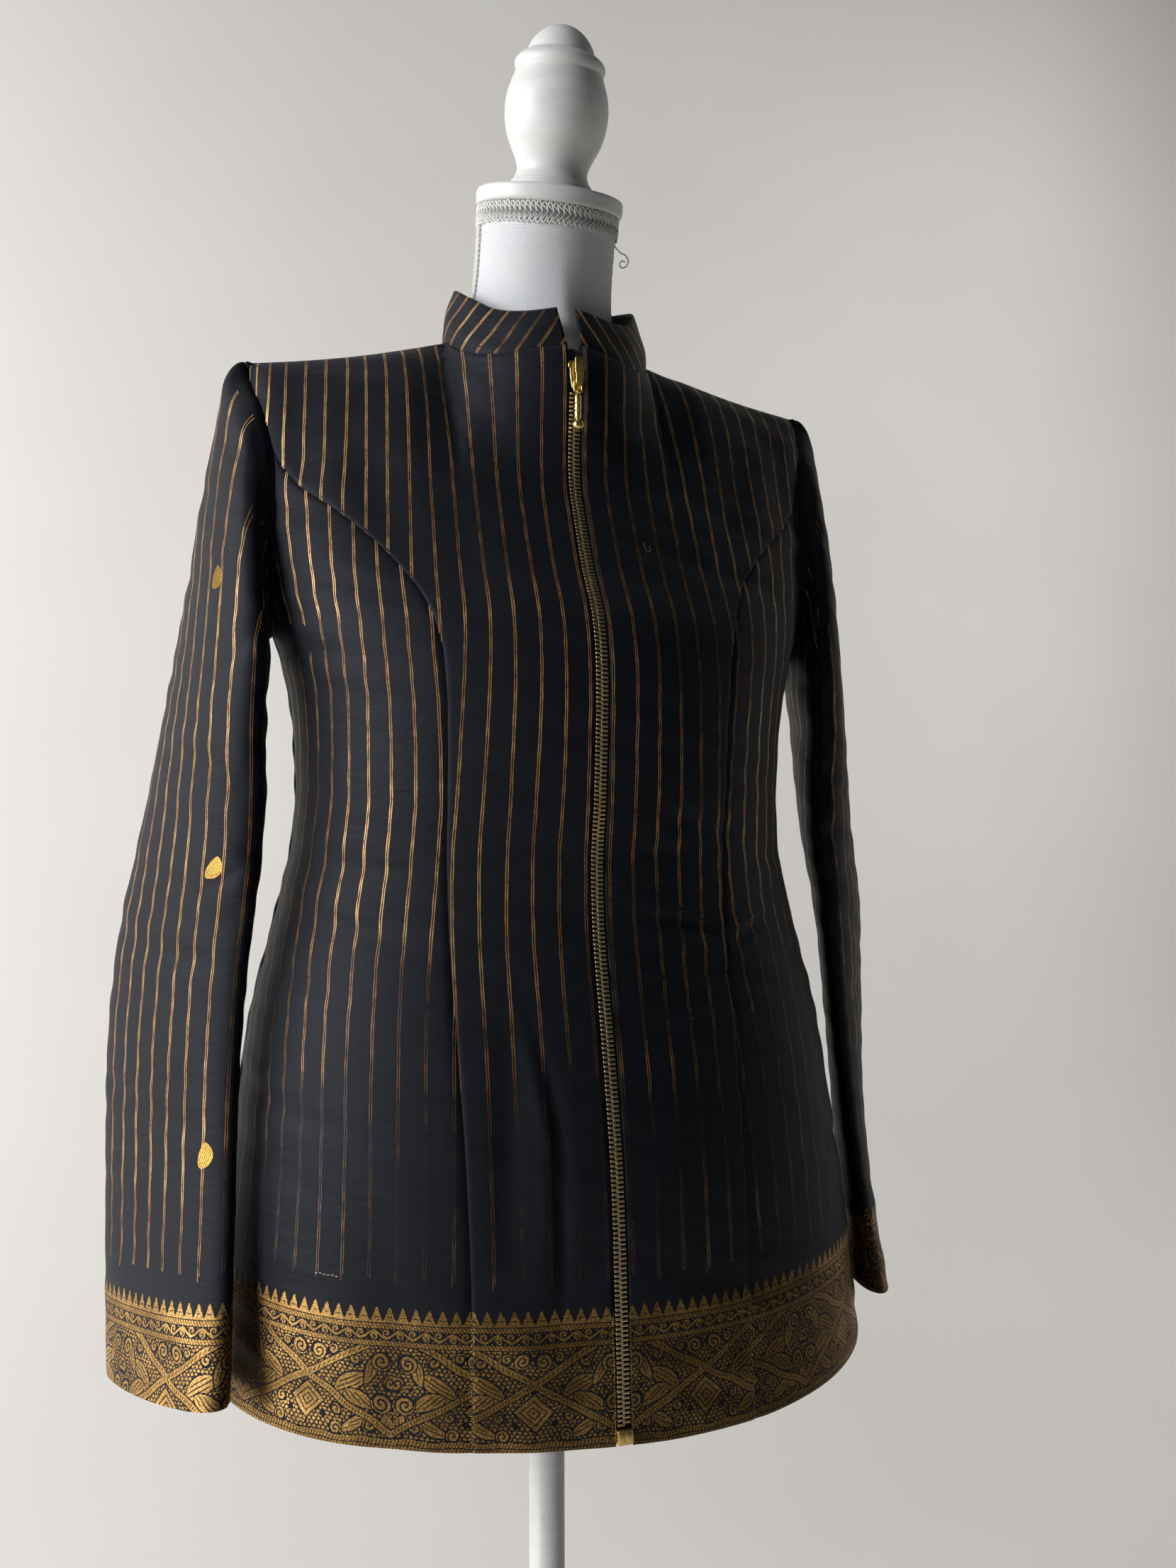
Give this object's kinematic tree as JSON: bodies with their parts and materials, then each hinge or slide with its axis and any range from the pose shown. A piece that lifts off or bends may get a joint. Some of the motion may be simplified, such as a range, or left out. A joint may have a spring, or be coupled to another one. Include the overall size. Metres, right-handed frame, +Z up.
{
  "type": "jacket on a dress form",
  "caption": "Fitted long-sleeved jacket with stand collar, full front zip, princess seams and woven gold border at hem and cuffs, worn by a limbless dress form on a pole.",
  "frame": {"origin": "centre of the base's underside, on the floor", "axes": "+Z up along the pole, -Y the way the wearer faces, +X the wearer's left"},
  "size_m": [0.5097, 0.34, 1.5585],
  "materials": {
    "navy_silk": "crisp silk with fine gold pinstripes and a woven gold border, slight sheen",
    "black_tape": "woven zip tape",
    "brass": "polished",
    "white_canvas": "plain canvas weave, matte",
    "white_braid": "looped gimp braid",
    "white_paint": "satin white paint"
  },
  "bodies": {
    "root": {"centre_front_right": "navy_silk", "side_front_right": "navy_silk", "back_right": "navy_silk", "top_sleeve_right": "navy_silk", "under_sleeve_right": "navy_silk", "centre_front_left": "navy_silk", "side_front_left": "navy_silk", "back_left": "navy_silk", "top_sleeve_left": "navy_silk", "under_sleeve_left": "navy_silk", "collar": "navy_silk", "zip_tape": "black_tape", "zip_chain": "brass", "zip_slider": "brass", "zip_bottom_box": "brass", "form_torso": "white_canvas", "neck_braid": "white_braid", "side_braid_right": "white_braid", "side_braid_left": "white_braid", "cap_disc": "white_paint", "finial": "white_paint", "pole_flange": "white_paint", "pole": "white_paint", "base": "white_paint"},
    "pull_link": {"zip_link": "brass"},
    "pull_bar": {"zip_pull": "brass"}
  },
  "joints": [
    {"name": "link", "type": "hinge", "parent": "root", "child": "pull_link", "pos_m": [0, -0.0696, 1.3381], "axis": [-1, 0, 0], "range_deg": [0, 120]},
    {"name": "pendant", "type": "hinge", "parent": "pull_link", "child": "pull_bar", "pos_m": [0, -0.06954, 1.3319], "axis": [-1, 0, 0], "range_deg": [0, 60]}
  ]
}
